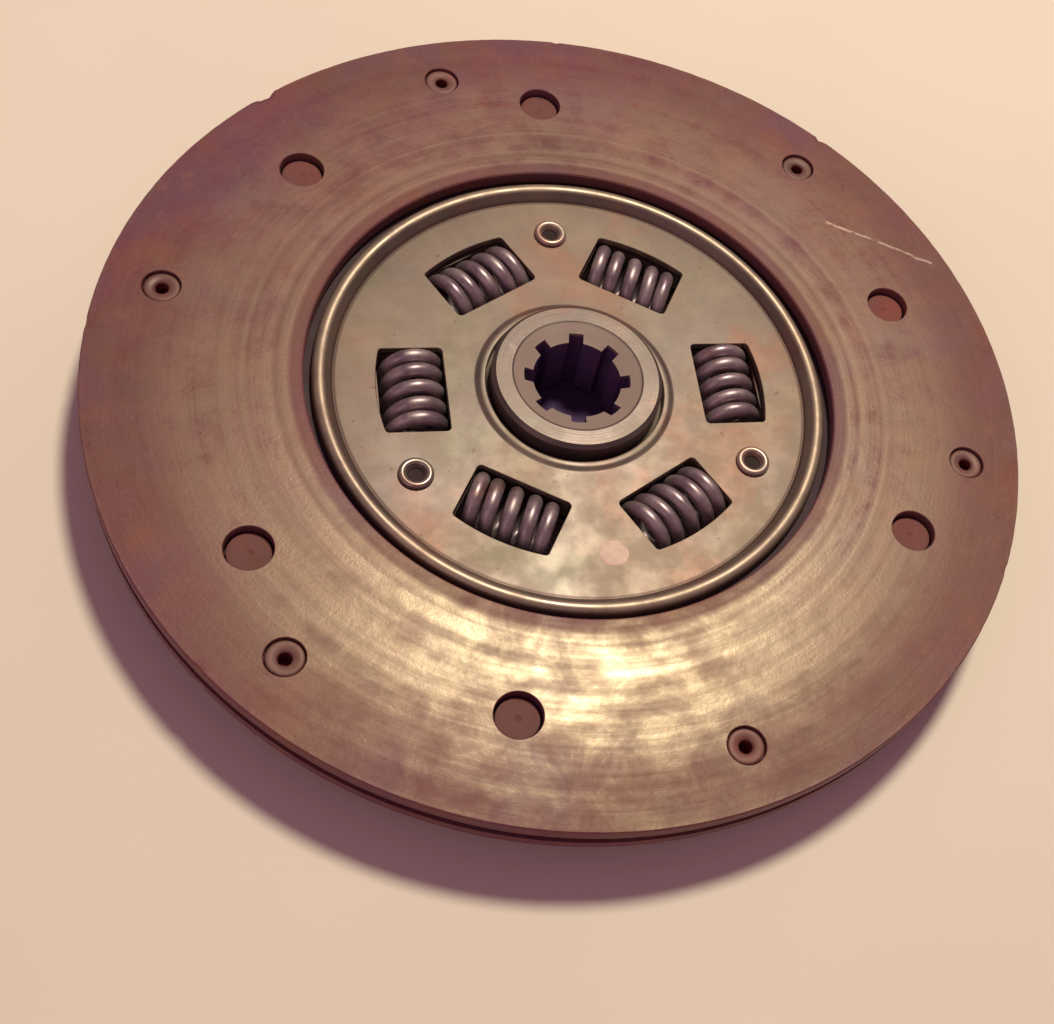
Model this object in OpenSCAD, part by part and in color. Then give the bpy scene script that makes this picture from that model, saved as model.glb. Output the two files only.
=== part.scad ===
// Driven plate of a dry friction clutch, with a coil-spring torsional damper.
//
// The hub axis is Z. The rear end of the hub stands on z = 0 and the front friction face is up.
// The front side is the one with the disc plate and its bead; the damper is offset to the rear.

/* [Friction facings] */

// Outer diameter of both facings
facing_od = 228; // [226:1:232]
// Inner diameter of both facings
facing_id = 130; // [129.5:0.5:134]
// Thickness of one facing
facing_t = 3.4; // [3.3:0.1:3.8]
// Height of the front friction face over the rear end of the hub
face_height = 20; // [20:0.1:20.4]
// Bevel on the facings' outer edges
facing_bevel = 0.4; // [0.2:0.1:0.8]

/* [Facing rivets] */

// Circle of the rivets that hold the front facing
front_rivet_circle_r = 100; // [99:0.5:101]
// Angle of the first front rivet
front_rivet_start = 43.6; // [42:0.1:45]
// Circle of the rivets that hold the rear facing
rear_rivet_circle_r = 89.6; // [88:0.1:90]
// Angle of the middle of the first pair of rear rivets
rear_pair_start = -8.9; // [-10:0.1:-8]
// Half the angle between the two rivets of a pair
rear_pair_half_angle = 22.6; // [21.5:0.1:23.5]
// Counterbore for a rivet head
counterbore_d = 9; // [8.6:0.1:9.6]
// Depth of the counterbore
counterbore_depth = 2; // [1.8:0.1:2.2]
// Hole through the other facing, for the riveting tool
tool_hole_d = 10.9; // [10.7:0.1:11.5]
// Rivet head diameter
rivet_head_d = 8.4; // [7.6:0.1:8.4]
// Rivet head thickness
rivet_head_t = 1.4; // [1:0.1:1.5]
// Rivet shank diameter
rivet_shank_d = 5; // [4.4:0.1:5.2]
// Hollow of a tubular front rivet
rivet_hollow_d = 3; // [2.6:0.1:3.6]
// Diameter of a rear rivet's formed end
formed_end_d = 10; // [9:0.1:10.2]
// Height of a rear rivet's formed end
formed_end_t = 2.4; // [1.8:0.1:2.6]

/* [Cushion springs] */

// Free height between the disc plate and the front facing
cushion_gap = 1.2; // [1.1:0.05:1.3]
// Thickness of a cushion spring leaf
leaf_t = 0.6; // [0.5:0.05:0.7]
// Inner and outer radius of a leaf
leaf_inner_r = 95; // [94.8:0.1:96]
leaf_outer_r = 106; // [104:0.5:108]
// Half the angle that a leaf spans
leaf_half_angle = 17.5; // [17:0.1:18]
// Diameter of the flush rivets that hold the leaves
leaf_rivet_d = 3.6; // [3:0.1:4]

/* [Disc plate] */

// Sheet thickness of the disc plate and the retainer plate
plate_t = 1.6; // [1.5:0.05:1.7]
// Outer diameter of the disc plate
plate_od = 225; // [222:1:225]
// Hole around the hub
plate_hole_d = 44; // [43.5:0.5:45]
// Radius of the crest of the bead, just inside the facings
bead_r = 61.3; // [61:0.1:61.4]
// Radius at which the bead starts to rise
bead_start_r = 58.2; // [57.5:0.1:58.6]
// Radius of the rounded crest
bead_crest_r = 1.9; // [1.7:0.1:1.9]
// Depth of the bead's crest under the friction face
bead_drop = 1.2; // [1:0.1:1.6]
// Width of the radial slots in the rim
rim_slot_w = 4; // [3:0.5:5]

/* [Torsional damper] */

// Height of the damper's middle plane
damper_z = 11; // [10.9:0.1:11]
// Circle on which the spring axes lie
spring_circle_r = 39.2; // [39:0.1:39.4]
// Outside diameter of a damper spring
spring_od = 16; // [15:0.1:16]
// Wire diameter of a damper spring
wire_d = 3.6; // [3.3:0.1:3.6]
// Length of a damper spring in its window
spring_length = 23.6; // [23:0.1:23.6]
// Pitch of the open coils
coil_pitch = 4.8; // [4.5:0.1:4.8]
// Length of a window along the spring
window_length = 23.8; // [23.8:0.1:24.4]
// Distance from the hub axis to a window's straight inner edge
window_inner_r = 31.6; // [31.3:0.1:31.7]
// Radius of a window's curved outer edge
window_outer_r = 48.2; // [48:0.1:48.8]
// Circle of the stop pins
pin_circle_r = 47.3; // [47:0.1:47.5]
// Diameter of a stop pin between the plates
pin_d = 8; // [7.6:0.1:8]
// Diameter of a stop pin's formed heads
pin_head_d = 8.4; // [8:0.1:9]
// Twist of the disc against the hub, each way
twist_limit = 6; // [4:0.5:6]
// Outer diameter of the retainer plate
retainer_od = 114; // [112:1:116]

/* [Hub] */

// Diameter of the boss
boss_d = 42; // [41.5:0.5:42]
// Length of the hub
hub_length = 21; // [20.5:0.5:23]
// Outer diameter of the hub flange
flange_od = 106; // [104:1:108]
// Thickness of the hub flange
flange_t = 4.8; // [4.6:0.1:4.8]
// Number of spline grooves
spline_count = 8; // [6:1:10]
// Diameter inside the spline teeth
spline_minor_d = 21.8; // [21.4:0.1:22.4]
// Diameter at the bottom of the spline grooves
spline_major_d = 26.2; // [25.8:0.1:27]
// Width of a spline groove
groove_w = 3.65; // [3:0.05:4]
// Angle of the first spline groove
groove_start = -6.6; // [-22:0.1:22]
// Diameter of the lead-in chamfer at the front end of the bore
lead_in_d = 32.4; // [30:0.1:34]
// Depth of the front lead-in chamfer
lead_in_depth = 2.2; // [2:0.1:3]

/* [Hidden] */

$fn = 96;
far = 2 * facing_od;

steel = [0.60, 0.57, 0.49];
spring_steel = [0.31, 0.30, 0.38];
lining = [0.55, 0.43, 0.40];
fibre = [0.35, 0.30, 0.26];
rivet_metal = [0.66, 0.55, 0.45];

// Clearances: a rivet in its hole, a face that slides on another, and a ring that turns on the hub
rivet_gap = 0.05;
slide_gap = 0.05;
turning_gap = 0.06;
pin_gap = 0.35;

// Heights of the friction stack, from the front face down
front_facing_z = face_height - facing_t;
rim_top_z = front_facing_z - cushion_gap;
rim_z = rim_top_z - plate_t;
rear_facing_z = rim_z - facing_t;

// Heights of the damper stack, outward from its middle plane
friction_t = 1.15;
plate_spacing = flange_t + 2 * (friction_t + slide_gap);
plate_z = damper_z + plate_spacing / 2;
plate_top_z = plate_z + plate_t;
retainer_top_z = damper_z - plate_spacing / 2;
retainer_z = retainer_top_z - plate_t;
thrust_t = 1;
spring_washer_h = 1.2;
spring_washer_t = 0.8;
dish_top_z = retainer_top_z - thrust_t - spring_washer_h;
dish_z = dish_top_z - plate_t;

// The friction pack sits between the hub boss and the springs
washer_bore_r = boss_d / 2 + turning_gap;
washer_r = 28.5;
dish_bore_r = boss_d / 2 + pin_gap;
dish_inner_r = washer_r + 0.5;

spring_count = 6;
spring_step = 360 / spring_count;
pin_count = 3;
pin_step = 360 / pin_count;
pin_start = 90;
pin_tenon_d = 6;
leaf_count = 6;
leaf_step = 360 / leaf_count;
leaf_rivet_angle = 14.9;
rim_slot_angle = 22.4;
rim_slot_start_r = 74;

function front_rivet_angle(k) = front_rivet_start + leaf_step * k;
function rear_rivet_angle(k) =
    rear_pair_start + 120 * floor(k / 2) + (k % 2 == 0 ? -1 : 1) * rear_pair_half_angle;

// ---- Helpers ----

module polar(angle, radius) {
    rotate([0, 0, angle]) translate([radius, 0, 0]) children();
}

module ring(inner_r, outer_r, z, height) {
    translate([0, 0, z]) linear_extrude(height) difference() {
        circle(outer_r);
        circle(inner_r);
    }
}

// Plane wedge from the axis outward, between two angles less than 90 degrees apart
module wedge(from, to) {
    polygon([[0, 0], far * [cos(from), sin(from)], far * [cos(to), sin(to)]]);
}

module rounded_square(from, to, r) {
    translate([from.x + r, from.y]) square([to.x - from.x - 2 * r, to.y - from.y]);
    translate([from.x, from.y + r]) square([to.x - from.x, to.y - from.y - 2 * r]);
    for (x = [from.x + r, to.x - r], y = [from.y + r, to.y - r])
        translate([x, y]) circle(r, $fn = 24);
}

// ---- Friction facings ----

// Ring of friction lining: counterbored for its own rivets, with tool holes at the other facing's.
// The friction face is at the top of the ring; flipped is true for the rear facing.
module lining_holes(own_angles, own_r, other_angles, other_r) {
    for (a = own_angles) polar(a, own_r) {
        translate([0, 0, -1]) cylinder(h = facing_t + 2, d = rivet_shank_d + 2 * rivet_gap);
        translate([0, 0, facing_t - counterbore_depth])
            cylinder(h = counterbore_depth + 1, d = counterbore_d);
    }
    for (a = other_angles) polar(a, other_r)
        translate([0, 0, -1]) cylinder(h = facing_t + 2, d = tool_hole_d);
}

module lining_ring() {
    outer = facing_od / 2;
    rotate_extrude() polygon([
        [facing_id / 2, 0], [outer, 0], [outer, facing_t - facing_bevel],
        [outer - facing_bevel, facing_t], [facing_id / 2, facing_t]
    ]);
}

module facing_front() {
    color(lining) translate([0, 0, front_facing_z]) difference() {
        lining_ring();
        lining_holes(
            [for (k = [0:5]) front_rivet_angle(k)], front_rivet_circle_r,
            [for (k = [0:5]) rear_rivet_angle(k)], rear_rivet_circle_r
        );
    }
}

module facing_rear() {
    color(lining) translate([0, 0, rim_z]) mirror([0, 0, 1]) difference() {
        lining_ring();
        lining_holes(
            [for (k = [0:5]) rear_rivet_angle(k)], rear_rivet_circle_r,
            [for (k = [0:5]) front_rivet_angle(k)], front_rivet_circle_r
        );
    }
}

// Tubular rivet: flared head in the front facing, rolled tail under the cushion spring
module front_rivet(k) {
    head_z = face_height - counterbore_depth;
    tail_top_z = front_facing_z - leaf_t;
    tail_t = 1;
    hollow_r = rivet_hollow_d / 2;
    shank_r = rivet_shank_d / 2;
    head_r = rivet_head_d / 2;
    tail_r = 3.4;
    color(rivet_metal) polar(front_rivet_angle(k), front_rivet_circle_r) rotate_extrude() {
        polygon([
            [hollow_r, tail_top_z - tail_t], [tail_r, tail_top_z - tail_t], [tail_r, tail_top_z],
            [shank_r, tail_top_z], [shank_r, head_z], [head_r, head_z],
            [head_r, head_z + 0.4 * rivet_head_t], [head_r - 0.5, head_z + 0.9 * rivet_head_t],
            [head_r - 0.9, head_z + rivet_head_t], [hollow_r + 0.4, head_z + rivet_head_t],
            [hollow_r, head_z + 0.6 * rivet_head_t]
        ]);
    }
}

// Solid rivet: head in the rear facing, flat formed end on the disc plate with a small dimple
module rear_rivet(k) {
    head_z = rear_facing_z + counterbore_depth;
    shank_r = rivet_shank_d / 2;
    head_r = rivet_head_d / 2;
    end_r = formed_end_d / 2;
    dimple_r = 0.7;
    dimple_depth = 0.5;
    end_z = rim_top_z + formed_end_t;
    color(rivet_metal) polar(rear_rivet_angle(k), rear_rivet_circle_r) rotate_extrude() {
        polygon([
            [0, head_z - rivet_head_t], [head_r, head_z - rivet_head_t], [head_r, head_z],
            [shank_r, head_z], [shank_r, rim_top_z], [end_r, rim_top_z],
            [end_r, end_z - 0.4], [end_r - 0.4, end_z], [dimple_r, end_z], [0, end_z - dimple_depth]
        ]);
    }
}

// ---- Cushion springs ----

// Leaf with two flat feet on the disc plate and a raised middle under the front facing
module cushion_spring(k) {
    rise = cushion_gap - leaf_t;
    crown = 8;
    foot = 21.5;
    reach = 36;
    profile = [[-reach, 0], [-foot, 0], [-crown, rise], [crown, rise], [foot, 0], [reach, 0]];
    lifted = [for (i = [len(profile) - 1:-1:0]) profile[i] + [0, leaf_t]];
    color(spring_steel) rotate([0, 0, front_rivet_angle(k)]) intersection() {
        translate([leaf_inner_r - 10, 0, rim_top_z]) rotate([90, 0, 90])
            linear_extrude(leaf_outer_r - leaf_inner_r + 20) polygon(concat(profile, lifted));
        translate([0, 0, rim_top_z - 1]) linear_extrude(cushion_gap + 2) difference() {
            intersection() {
                circle(leaf_outer_r);
                wedge(-leaf_half_angle, leaf_half_angle);
            }
            circle(leaf_inner_r);
            translate([front_rivet_circle_r, 0]) circle(d = rivet_shank_d + 2 * rivet_gap);
            for (side = [-1, 1]) polar(side * leaf_rivet_angle, front_rivet_circle_r)
                circle(d = leaf_rivet_d + 2 * rivet_gap);
        }
    }
}

module cushion_rivets() {
    color(rivet_metal) for (k = [0:leaf_count - 1], side = [-1, 1])
        polar(front_rivet_angle(k) + side * leaf_rivet_angle, front_rivet_circle_r)
            translate([0, 0, rim_z]) cylinder(h = plate_t + leaf_t, d = leaf_rivet_d);
}

// ---- Plates ----

// Plane outline of a spring window: straight inside and end edges, curved outer edge
module window_outline() {
    intersection() {
        rounded_square(
            [window_inner_r, -window_length / 2], [window_outer_r + 2, window_length / 2], 1
        );
        circle(window_outer_r);
    }
}

module plate_cutouts(z) {
    translate([0, 0, z - 1]) linear_extrude(plate_t + 2) {
        for (k = [0:spring_count - 1]) rotate([0, 0, spring_step * k]) window_outline();
        for (k = [0:pin_count - 1]) polar(pin_start + pin_step * k, pin_circle_r)
            circle(d = pin_tenon_d + 2 * rivet_gap);
    }
}

// Half section of the disc plate: lip at the hub, flat web, hollow bead, and flat rim
module disc_plate_section() {
    crest_z = face_height - bead_drop - bead_crest_r;
    wall_r = bead_r + bead_crest_r;
    wall_t = 1.4;
    hollow_z = crest_z + 0.2;
    lip_r = plate_hole_d / 2;
    polygon(concat(
        [
            [lip_r, plate_z], [lip_r, plate_top_z + 0.3], [lip_r + 0.4, plate_top_z + 0.6],
            [lip_r + 1.5, plate_top_z + 0.6], [lip_r + 2.5, plate_top_z], [bead_start_r, plate_top_z]
        ],
        [for (a = [135:-15:0]) [bead_r, crest_z] + bead_crest_r * [cos(a), sin(a)]],
        [
            [wall_r, rim_top_z], [plate_od / 2, rim_top_z], [plate_od / 2, rim_z],
            [wall_r - wall_t, rim_z], [wall_r - wall_t, hollow_z], [bead_r - 0.5, hollow_z],
            [bead_start_r + 0.4, plate_z]
        ]
    ));
}

module disc_plate() {
    color(steel) difference() {
        rotate_extrude() disc_plate_section();
        plate_cutouts(plate_z);
        for (k = [0:leaf_count - 1]) rotate([0, 0, front_rivet_angle(k)]) translate([0, 0, rim_z - 1])
            linear_extrude(plate_t + 2) {
                translate([front_rivet_circle_r, 0]) circle(d = counterbore_d);
                for (side = [-1, 1]) polar(side * leaf_rivet_angle, front_rivet_circle_r)
                    circle(d = leaf_rivet_d + 2 * rivet_gap);
                rotate([0, 0, rim_slot_angle]) translate([rim_slot_start_r, 0]) {
                    circle(d = rim_slot_w);
                    translate([0, -rim_slot_w / 2]) square([plate_od, rim_slot_w]);
                }
            }
        for (k = [0:5]) polar(rear_rivet_angle(k), rear_rivet_circle_r)
            translate([0, 0, rim_z - 1]) cylinder(h = plate_t + 2, d = rivet_shank_d + 2 * rivet_gap);
    }
}

// Rear plate of the damper, dished at the middle to hold the friction pack
module retainer_plate() {
    wall_r = dish_inner_r + plate_t;
    color(steel) difference() {
        rotate_extrude() {
            translate([dish_bore_r, dish_z]) square([wall_r - dish_bore_r, plate_t]);
            translate([dish_inner_r, dish_z]) square([plate_t, retainer_top_z - dish_z]);
            translate([dish_inner_r, retainer_z])
                square([retainer_od / 2 - dish_inner_r, plate_t]);
        }
        plate_cutouts(retainer_z);
    }
}

// ---- Torsional damper ----

// Pin that joins the two plates: thick between them, with a hollow formed head outside each
module stop_pin(k) {
    head_t = 1.3;
    hollow_r = 2.3;
    hollow_depth = 1.8;
    head_r = pin_head_d / 2;
    shoulder = plate_spacing / 2;
    face = shoulder + plate_t;
    end = face + head_t;
    front_half = [
        [pin_d / 2, shoulder], [pin_tenon_d / 2, shoulder], [pin_tenon_d / 2, face],
        [head_r - 0.3, face], [head_r, face + 0.3], [head_r, end - 0.6], [head_r - 0.5, end - 0.1],
        [head_r - 0.9, end], [hollow_r + 0.4, end], [hollow_r, end - 0.5],
        [hollow_r - 0.3, end - hollow_depth], [0, end - hollow_depth]
    ];
    rear_half = [for (i = [len(front_half) - 1:-1:0]) [front_half[i].x, -front_half[i].y]];
    color(rivet_metal) polar(pin_start + pin_step * k, pin_circle_r) translate([0, 0, damper_z])
        rotate_extrude() polygon(concat(front_half, rear_half));
}

module friction_washer_front() {
    color(fibre) ring(washer_bore_r, washer_r, plate_z - friction_t, friction_t);
}

module friction_washer_rear() {
    color(fibre) ring(washer_bore_r, washer_r, retainer_top_z, friction_t);
}

module thrust_washer() {
    color(steel) ring(dish_bore_r, washer_r, retainer_top_z - thrust_t, thrust_t);
}

// Coned spring washer, open side to the rear
module spring_washer() {
    z = dish_top_z;
    h = spring_washer_h;
    t = spring_washer_t;
    color(spring_steel) rotate_extrude() polygon([
        [dish_bore_r, z + h - t], [washer_r, z], [washer_r, z + t], [dish_bore_r, z + h]
    ]);
}

// Height of the coil's centre line after s turns from the spring's middle: even pitch, closed ends
open_turns = 1.3;
half_turns = 2.3;
function coil_height(s) =
    let (
        a = abs(s),
        open = coil_pitch * open_turns,
        end = (spring_length - wire_d) / 2,
        closing = (end - open) / (half_turns - open_turns)
    )
    (s < 0 ? -1 : 1) * (a < open_turns ? coil_pitch * a : open + closing * (a - open_turns));

// Compression spring along Z, centred on the origin
module coil_spring() {
    sides = 8;
    per_turn = 12;
    rings = round(2 * half_turns * per_turn);
    mean_r = (spring_od - wire_d) / 2;
    lead = atan(coil_pitch / (2 * PI * mean_r));
    points = [
        for (i = [0:rings])
            let (
                s = -half_turns + 2 * half_turns * i / rings,
                a = 360 * s,
                radial = [cos(a), sin(a), 0],
                across = [sin(lead) * sin(a), -sin(lead) * cos(a), cos(lead)],
                centre = mean_r * radial + [0, 0, coil_height(s)]
            )
            for (j = [0:sides - 1])
                centre + wire_d / 2 * (cos(360 * j / sides) * radial + sin(360 * j / sides) * across)
    ];
    walls = [
        for (i = [0:rings - 1], j = [0:sides - 1])
            let (n = (j + 1) % sides, a = i * sides, b = a + sides)
            [a + j, a + n, b + n, b + j]
    ];
    first = [for (j = [sides - 1:-1:0]) j];
    last = [for (j = [0:sides - 1]) rings * sides + j];
    polyhedron(points, concat([first], walls, [last]));
}

// Each spring is turned about its own axis, as loose springs are
module damper_spring(k) {
    color(spring_steel) rotate([0, 0, spring_step * k]) translate([spring_circle_r, 0, damper_z])
        rotate([-90, 0, 0]) rotate([0, 0, 75 * k]) coil_spring();
}

// ---- Hub ----

module spline_outline() {
    circle(d = spline_minor_d);
    intersection() {
        circle(d = spline_major_d);
        for (k = [0:spline_count - 1]) rotate([0, 0, groove_start + 360 / spline_count * k])
            translate([0, -groove_w / 2]) square([spline_major_d, groove_w]);
    }
}

// Arc-shaped notch in the flange, open to the rim, in which a stop pin moves
module pin_notch() {
    r = pin_d / 2 + pin_gap;
    for (a = [-twist_limit, twist_limit]) polar(a, pin_circle_r) {
        circle(r);
        translate([0, -r]) square([flange_od / 2, 2 * r]);
    }
    difference() {
        intersection() {
            circle(flange_od);
            wedge(-twist_limit, twist_limit);
        }
        circle(pin_circle_r - r + 0.1);
    }
}

module flange_cutouts() {
    side_gap = 0.4;
    for (k = [0:spring_count - 1]) rotate([0, 0, spring_step * k])
        rounded_square(
            [spring_circle_r - spring_od / 2 - side_gap, -window_length / 2],
            [spring_circle_r + spring_od / 2 + side_gap, window_length / 2], 1
        );
    for (k = [0:pin_count - 1]) rotate([0, 0, pin_start + pin_step * k]) pin_notch();
}

// Cone that opens the bore at a face on z = 0, with the bore below; it starts inside the teeth
module lead_in(face_d, depth) {
    start_d = spline_minor_d - 1;
    over = 1;
    translate([0, 0, -depth]) cylinder(
        h = depth + over, d1 = start_d, d2 = face_d + (face_d - start_d) / depth * over
    );
}

module hub() {
    boss_r = boss_d / 2;
    edge = 1;
    rear_lead_in = 1.2;
    flange_z = damper_z - flange_t / 2;
    color(steel) difference() {
        union() {
            rotate_extrude() polygon([
                [0, 0], [boss_r - edge, 0], [boss_r, edge], [boss_r, hub_length - edge],
                [boss_r - edge, hub_length], [0, hub_length]
            ]);
            translate([0, 0, flange_z]) linear_extrude(flange_t) difference() {
                circle(d = flange_od);
                flange_cutouts();
            }
        }
        translate([0, 0, -1]) linear_extrude(hub_length + 2) spline_outline();
        translate([0, 0, hub_length]) lead_in(lead_in_d, lead_in_depth);
        mirror([0, 0, 1]) lead_in(spline_major_d + 2, rear_lead_in);
    }
}

// ---- Nodes ----

hub();
disc_plate();
retainer_plate();
friction_washer_front();
friction_washer_rear();
thrust_washer();
spring_washer();
for (k = [0:5]) damper_spring(k);
for (k = [0:2]) stop_pin(k);
for (k = [0:5]) cushion_spring(k);
cushion_rivets();
facing_front();
facing_rear();
for (k = [0:5]) front_rivet(k);
for (k = [0:5]) rear_rivet(k);
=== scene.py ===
import math

import bmesh
import bpy
from mathutils import Matrix, Vector, noise


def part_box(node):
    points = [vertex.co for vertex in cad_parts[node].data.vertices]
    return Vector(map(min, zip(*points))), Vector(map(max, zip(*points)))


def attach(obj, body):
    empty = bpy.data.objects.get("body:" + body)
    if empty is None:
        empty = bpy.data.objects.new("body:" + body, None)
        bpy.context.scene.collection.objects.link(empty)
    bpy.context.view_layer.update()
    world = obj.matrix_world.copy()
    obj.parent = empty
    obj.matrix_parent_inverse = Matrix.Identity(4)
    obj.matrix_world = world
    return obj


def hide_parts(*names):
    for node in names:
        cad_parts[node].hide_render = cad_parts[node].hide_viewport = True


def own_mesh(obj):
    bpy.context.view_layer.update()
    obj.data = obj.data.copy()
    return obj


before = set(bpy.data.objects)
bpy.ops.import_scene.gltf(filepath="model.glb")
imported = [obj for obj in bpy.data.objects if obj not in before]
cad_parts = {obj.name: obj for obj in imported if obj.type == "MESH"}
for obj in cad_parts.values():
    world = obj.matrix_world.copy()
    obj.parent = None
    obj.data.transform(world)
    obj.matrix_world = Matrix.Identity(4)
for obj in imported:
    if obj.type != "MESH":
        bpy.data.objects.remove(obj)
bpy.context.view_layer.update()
scene = bpy.context.scene
scene.view_settings.view_transform = "Standard"

MM = 0.001
TAU = 2 * math.pi
SPRINGS = [f"damper_spring_{k}" for k in range(1, 7)]
LEAVES = [f"cushion_spring_{k}" for k in range(1, 7)]
PINS = [f"stop_pin_{k}" for k in range(1, 4)]
FRONT_RIVETS = [f"front_rivet_{k}" for k in range(1, 7)]
REAR_RIVETS = [f"rear_rivet_{k}" for k in range(1, 7)]


def centre(node):
    lo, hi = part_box(node)
    return (lo + hi) / 2


def half_width(node):
    lo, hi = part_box(node)
    return (hi.x - lo.x) / 2


# ---- Sizes: the frame's boxes, and the lengths that a box doesn't show ----

FACING_R = half_width("facing_front")
FACING_BORE_R = 65 * MM
FRONT_TOP_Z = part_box("facing_front")[1].z
COUNTERBORE_R = 4.5 * MM
COUNTERBORE_DEPTH = 2 * MM
TOOL_HOLE_R = 5.45 * MM
RIVET_HEAD_T = 1.4 * MM
RIVET_HEAD_R = 4.2 * MM
RIVET_SHANK_R = 2.5 * MM
RIVET_HOLLOW_R = 1.5 * MM
SHANK_HOLE_R = RIVET_SHANK_R + 0.05 * MM
POLISH_START_R = 67 * MM
POLISH_END_R = 84 * MM

PLATE_R = half_width("disc_plate")
PLATE_T = 1.6 * MM
RIM_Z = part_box("disc_plate")[0].z
RIM_TOP_Z = RIM_Z + PLATE_T
BEAD_TOP_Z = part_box("disc_plate")[1].z
PIN_HEAD_T = 1.3 * MM
WEB_TOP_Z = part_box("stop_pin_1")[1].z - PIN_HEAD_T
WEB_Z = WEB_TOP_Z - PLATE_T
PLATE_HOLE_R = 22 * MM
BEAD_START_R = 58.2 * MM
BEAD_R = 61.3 * MM
BEAD_CREST_R = 1.9 * MM
WINDOW_LENGTH = 23.8 * MM
WINDOW_INNER_R = 31.6 * MM
WINDOW_OUTER_R = 48.2 * MM
RIM_SLOT_W = 4 * MM
RIM_SLOT_ANGLE = 22.4
RIM_SLOT_START_R = 74 * MM
LEAF_RIVET_ANGLE = 14.9
LEAF_RIVET_R = 1.85 * MM

SPRING_R = 8 * MM
WIRE_R = 1.8 * MM
SPRING_LENGTH = 23.6 * MM
COIL_PITCH = 4.8 * MM

PIN_R = 4 * MM
PIN_TENON_R = 3 * MM

HUB_TOP_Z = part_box("hub")[1].z
BORE_R = 13.1 * MM
LEAD_IN_DEPTH = 2.2 * MM
LEAD_IN_R = 16.2 * MM


# ---- Camera ----

CAMERA_AT = Vector((-74.4, -194.7, 303.2)) * MM
CAMERA_AIM = Vector((11.2, -45.3, 20.0)) * MM
CAMERA_ROLL = math.radians(23.23)


def make_camera():
    data = bpy.data.cameras.new("camera")
    data.sensor_width = 36
    data.lens = 49.0
    data.shift_x = -0.1195
    data.shift_y = 0.0247
    data.clip_start = 0.01
    data.clip_end = 20
    camera = bpy.data.objects.new("camera", data)
    scene.collection.objects.link(camera)
    level = (CAMERA_AIM - CAMERA_AT).to_track_quat("-Z", "Y").to_matrix()
    rolled = level @ Matrix.Rotation(CAMERA_ROLL, 3, "Z")
    camera.matrix_world = Matrix.Translation(CAMERA_AT) @ rolled.to_4x4()
    scene.camera = camera


# ---- Mesh helpers ----

def add_object(name, mesh):
    obj = bpy.data.objects.new(name, mesh)
    scene.collection.objects.link(obj)
    return obj


def from_bmesh(name, bm):
    bmesh.ops.recalc_face_normals(bm, faces=bm.faces)
    mesh = bpy.data.meshes.new(name)
    bm.to_mesh(mesh)
    bm.free()
    return add_object(name, mesh)


def lathe(name, profile, segments, wobble=None):
    """Closed ring turned from a closed outline of (radius, height) points round Z.
    wobble(radius, height, angle) may move each point, in metres."""
    bm = bmesh.new()
    rings = []
    for i in range(segments):
        a = TAU * i / segments
        ring = []
        for r, z in profile:
            if wobble:
                dr, dz = wobble(r, z, a)
                r, z = r + dr, z + dz
            ring.append(bm.verts.new((r * math.cos(a), r * math.sin(a), z)))
        rings.append(ring)
    count = len(profile)
    for i in range(segments):
        here, there = rings[i], rings[(i + 1) % segments]
        for j in range(count):
            k = (j + 1) % count
            bm.faces.new((here[j], there[j], there[k], here[k]))
    return from_bmesh(name, bm)


def loft(name, outlines):
    """Closed solid through a stack of outlines, each a list of points in space with the same count."""
    bm = bmesh.new()
    loops = [[bm.verts.new(p) for p in outline] for outline in outlines]
    count = len(loops[0])
    for low, high in zip(loops, loops[1:]):
        for j in range(count):
            k = (j + 1) % count
            bm.faces.new((low[j], low[k], high[k], high[j]))
    bm.faces.new(list(reversed(loops[0])))
    bm.faces.new(loops[-1])
    return from_bmesh(name, bm)


def circle_points(x, y, r, z, count=48):
    return [
        Vector((x + r * math.cos(TAU * i / count), y + r * math.sin(TAU * i / count), z))
        for i in range(count)
    ]


def round_cutter(at, levels, count=48):
    """Turned cutter on a vertical axis at a point; levels are (height, radius) from below."""
    return loft("cutter", [circle_points(at.x, at.y, r, z, count) for z, r in levels])


def cut(obj, cutters):
    """Takes the cutters out of obj and removes them."""
    bm = bmesh.new()
    for c in cutters:
        bm.from_mesh(c.data)
        bpy.data.objects.remove(c)
    tool = from_bmesh("cutters", bm)
    boolean = obj.modifiers.new("cut", "BOOLEAN")
    boolean.operation = "DIFFERENCE"
    boolean.solver = "EXACT"
    boolean.object = tool
    apply_modifiers(obj)
    bpy.data.objects.remove(tool)


def apply_modifiers(obj):
    bpy.context.view_layer.update()
    seen = obj.evaluated_get(bpy.context.evaluated_depsgraph_get())
    mesh = bpy.data.meshes.new_from_object(seen)
    obj.modifiers.clear()
    obj.data = mesh


def smooth(obj, angle=32):
    """Smooth shading that stops at corners and keeps flat faces flat next to small rounds."""
    obj.data.shade_smooth()
    obj.data.set_sharp_from_angle(angle=math.radians(angle))
    weighted = obj.modifiers.new("normals", "WEIGHTED_NORMAL")
    weighted.keep_sharp = True
    apply_modifiers(obj)


def bevelled_copy(name, nodes, width, segments=2):
    """The CAD nodes' own surfaces as one piece, with their sharp edges broken by a small round."""
    bm = bmesh.new()
    for n in nodes:
        bm.from_mesh(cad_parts[n].data)
    bmesh.ops.remove_doubles(bm, verts=bm.verts, dist=0.002 * MM)
    bmesh.ops.dissolve_limit(
        bm, angle_limit=math.radians(0.4), verts=bm.verts, edges=bm.edges, delimit={"NORMAL"}
    )
    obj = from_bmesh(name, bm)
    bevel = obj.modifiers.new("edge", "BEVEL")
    bevel.width = width
    bevel.segments = segments
    bevel.limit_method = "ANGLE"
    bevel.angle_limit = math.radians(40)
    bevel.use_clamp_overlap = True
    apply_modifiers(obj)
    smooth(obj)
    return obj


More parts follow.
